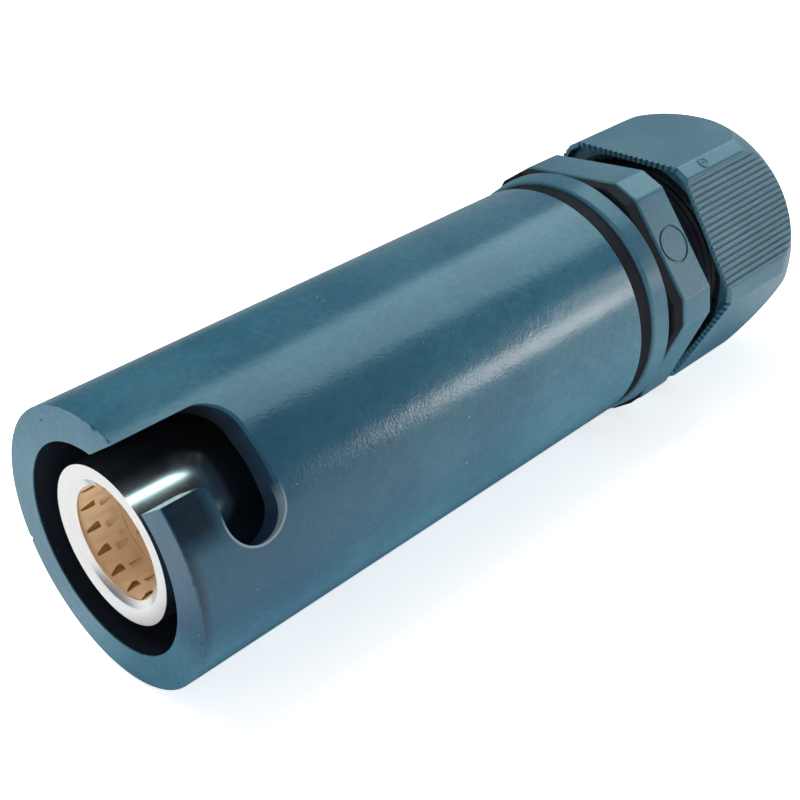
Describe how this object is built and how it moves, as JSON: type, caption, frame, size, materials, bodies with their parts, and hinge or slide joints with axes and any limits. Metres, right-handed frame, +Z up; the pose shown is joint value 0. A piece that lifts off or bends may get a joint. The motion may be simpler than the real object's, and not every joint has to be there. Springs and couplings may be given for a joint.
{
  "type": "single-pole power socket connector",
  "caption": "Round single-pole power socket with a bayonet slot, a louvred socket contact and a cable gland with a fluted dome nut.",
  "frame": {"origin": "centre of the mating face, on the connector's axis", "axes": "+X along the connector's axis from the mating face to the cable entry, +Z up as it lies"},
  "size_m": [0.1823, 0.0592, 0.056],
  "materials": {
    "shell_plastic": "satin moulded, slate blue",
    "silver_plate": "silver plated copper alloy",
    "gold_plate": "gold plated spring sheet",
    "black_rubber": "smooth",
    "steel": "bright",
    "inner_plastic": "moulded, dark grey",
    "gland_plastic": "satin moulded, teal grey",
    "slip_plastic": "natural white"
  },
  "bodies": {
    "housing": {"insulating_shell": "shell_plastic", "socket_contact": "silver_plate", "front_louvre_band": "gold_plate", "rear_louvre_band": "gold_plate", "contact_o_rings": "black_rubber", "locating_pin": "steel", "thrust_washer": "steel", "clamp_ring": "inner_plastic", "cavity_seal": "black_rubber", "shell_gasket": "black_rubber", "collar_ring": "gland_plastic", "gland_gasket": "black_rubber", "gland_body": "gland_plastic", "clamping_cage": "inner_plastic", "seal_insert": "black_rubber"},
    "slip_ring": {"slip_ring": "slip_plastic"},
    "dome_nut": {"dome_nut": "gland_plastic"}
  },
  "joints": [
    {"name": "nut_travel", "type": "slide", "parent": "housing", "child": "slip_ring", "axis": [1, 0, 0], "range_m": [-0.005, 0.005]},
    {"name": "nut_turning", "type": "hinge", "parent": "slip_ring", "child": "dome_nut", "pos_m": [0.16, 0, 0], "axis": [1, 0, 0], "range_deg": [-900, 900]}
  ],
  "couplings": [
    {"joint": "nut_travel", "follows": "nut_turning", "m_per_rad": 0.00031831}
  ]
}
